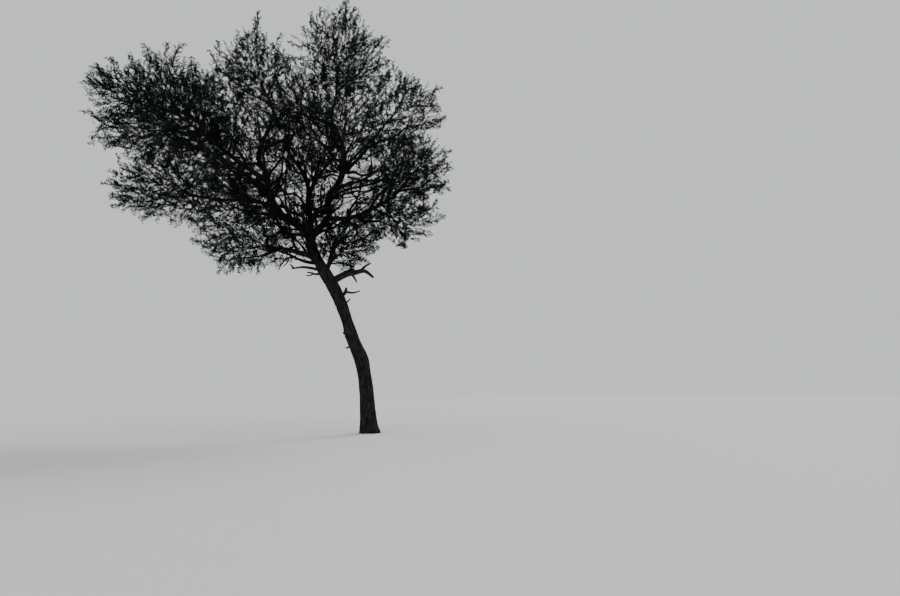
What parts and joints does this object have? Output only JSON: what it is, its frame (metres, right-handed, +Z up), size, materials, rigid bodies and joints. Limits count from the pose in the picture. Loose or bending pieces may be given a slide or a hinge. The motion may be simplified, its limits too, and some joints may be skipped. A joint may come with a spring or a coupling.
{
  "type": "acacia tree",
  "caption": "Whole leaning savanna acacia with a bare trunk, an irregular spreading crown in separate foliage masses, and short dead limbs.",
  "frame": {"origin": "centre of the flat cut under the trunk, at ground level", "axes": "+Z up; the trunk leans towards -X, and +Y runs away from the viewpoint of the reference"},
  "size_m": [11.89, 8.6895, 14],
  "materials": {
    "bark": "rough fissured bark",
    "dead_wood": "weathered, matt",
    "foliage": "matt leaves"
  },
  "bodies": {
    "root": {"trunk": "bark", "limb_left": "bark", "limb_right": "bark", "limb_middle": "bark", "limb_far_left": "bark", "limb_right_low": "bark", "limb_under_left": "bark", "limb_under_right": "bark", "dead_limb": "dead_wood", "dead_stub": "dead_wood", "dead_twig_left": "dead_wood", "bough_left_crest": "bark", "bough_left_edge": "bark", "bough_left_low_outer": "bark", "bough_left_low_inner": "bark", "bough_left_shoulder": "bark", "bough_crest_middle": "bark", "bough_right_upper": "bark", "bough_right_low": "bark", "bough_fork_tuft": "bark", "bough_low_middle": "bark", "bough_heart_left": "bark", "bough_front_left": "bark", "bough_front_middle": "bark", "bough_front_right": "bark", "bough_front_low_left": "bark", "bough_front_low_right": "bark", "bough_back_left": "bark", "bough_back_middle": "bark", "bough_back_right": "bark", "bough_back_low_left": "bark", "bough_back_low_right": "bark", "foliage_far_left": "foliage", "foliage_left_crest": "foliage", "foliage_left_edge": "foliage", "foliage_left_low_outer": "foliage", "foliage_left_low_inner": "foliage", "foliage_under_left": "foliage", "foliage_left_spire": "foliage", "foliage_left_shoulder": "foliage", "foliage_top": "foliage", "foliage_crest_middle": "foliage", "foliage_right_upper": "foliage", "foliage_right_edge": "foliage", "foliage_right_low": "foliage", "foliage_under_right": "foliage", "foliage_fork_tuft": "foliage", "foliage_low_middle": "foliage", "foliage_heart_left": "foliage", "foliage_heart_middle": "foliage", "foliage_front_left": "foliage", "foliage_front_middle": "foliage", "foliage_front_right": "foliage", "foliage_front_low_left": "foliage", "foliage_front_low_right": "foliage", "foliage_back_left": "foliage", "foliage_back_middle": "foliage", "foliage_back_right": "foliage", "foliage_back_low_left": "foliage", "foliage_back_low_right": "foliage"}
  },
  "joints": []
}
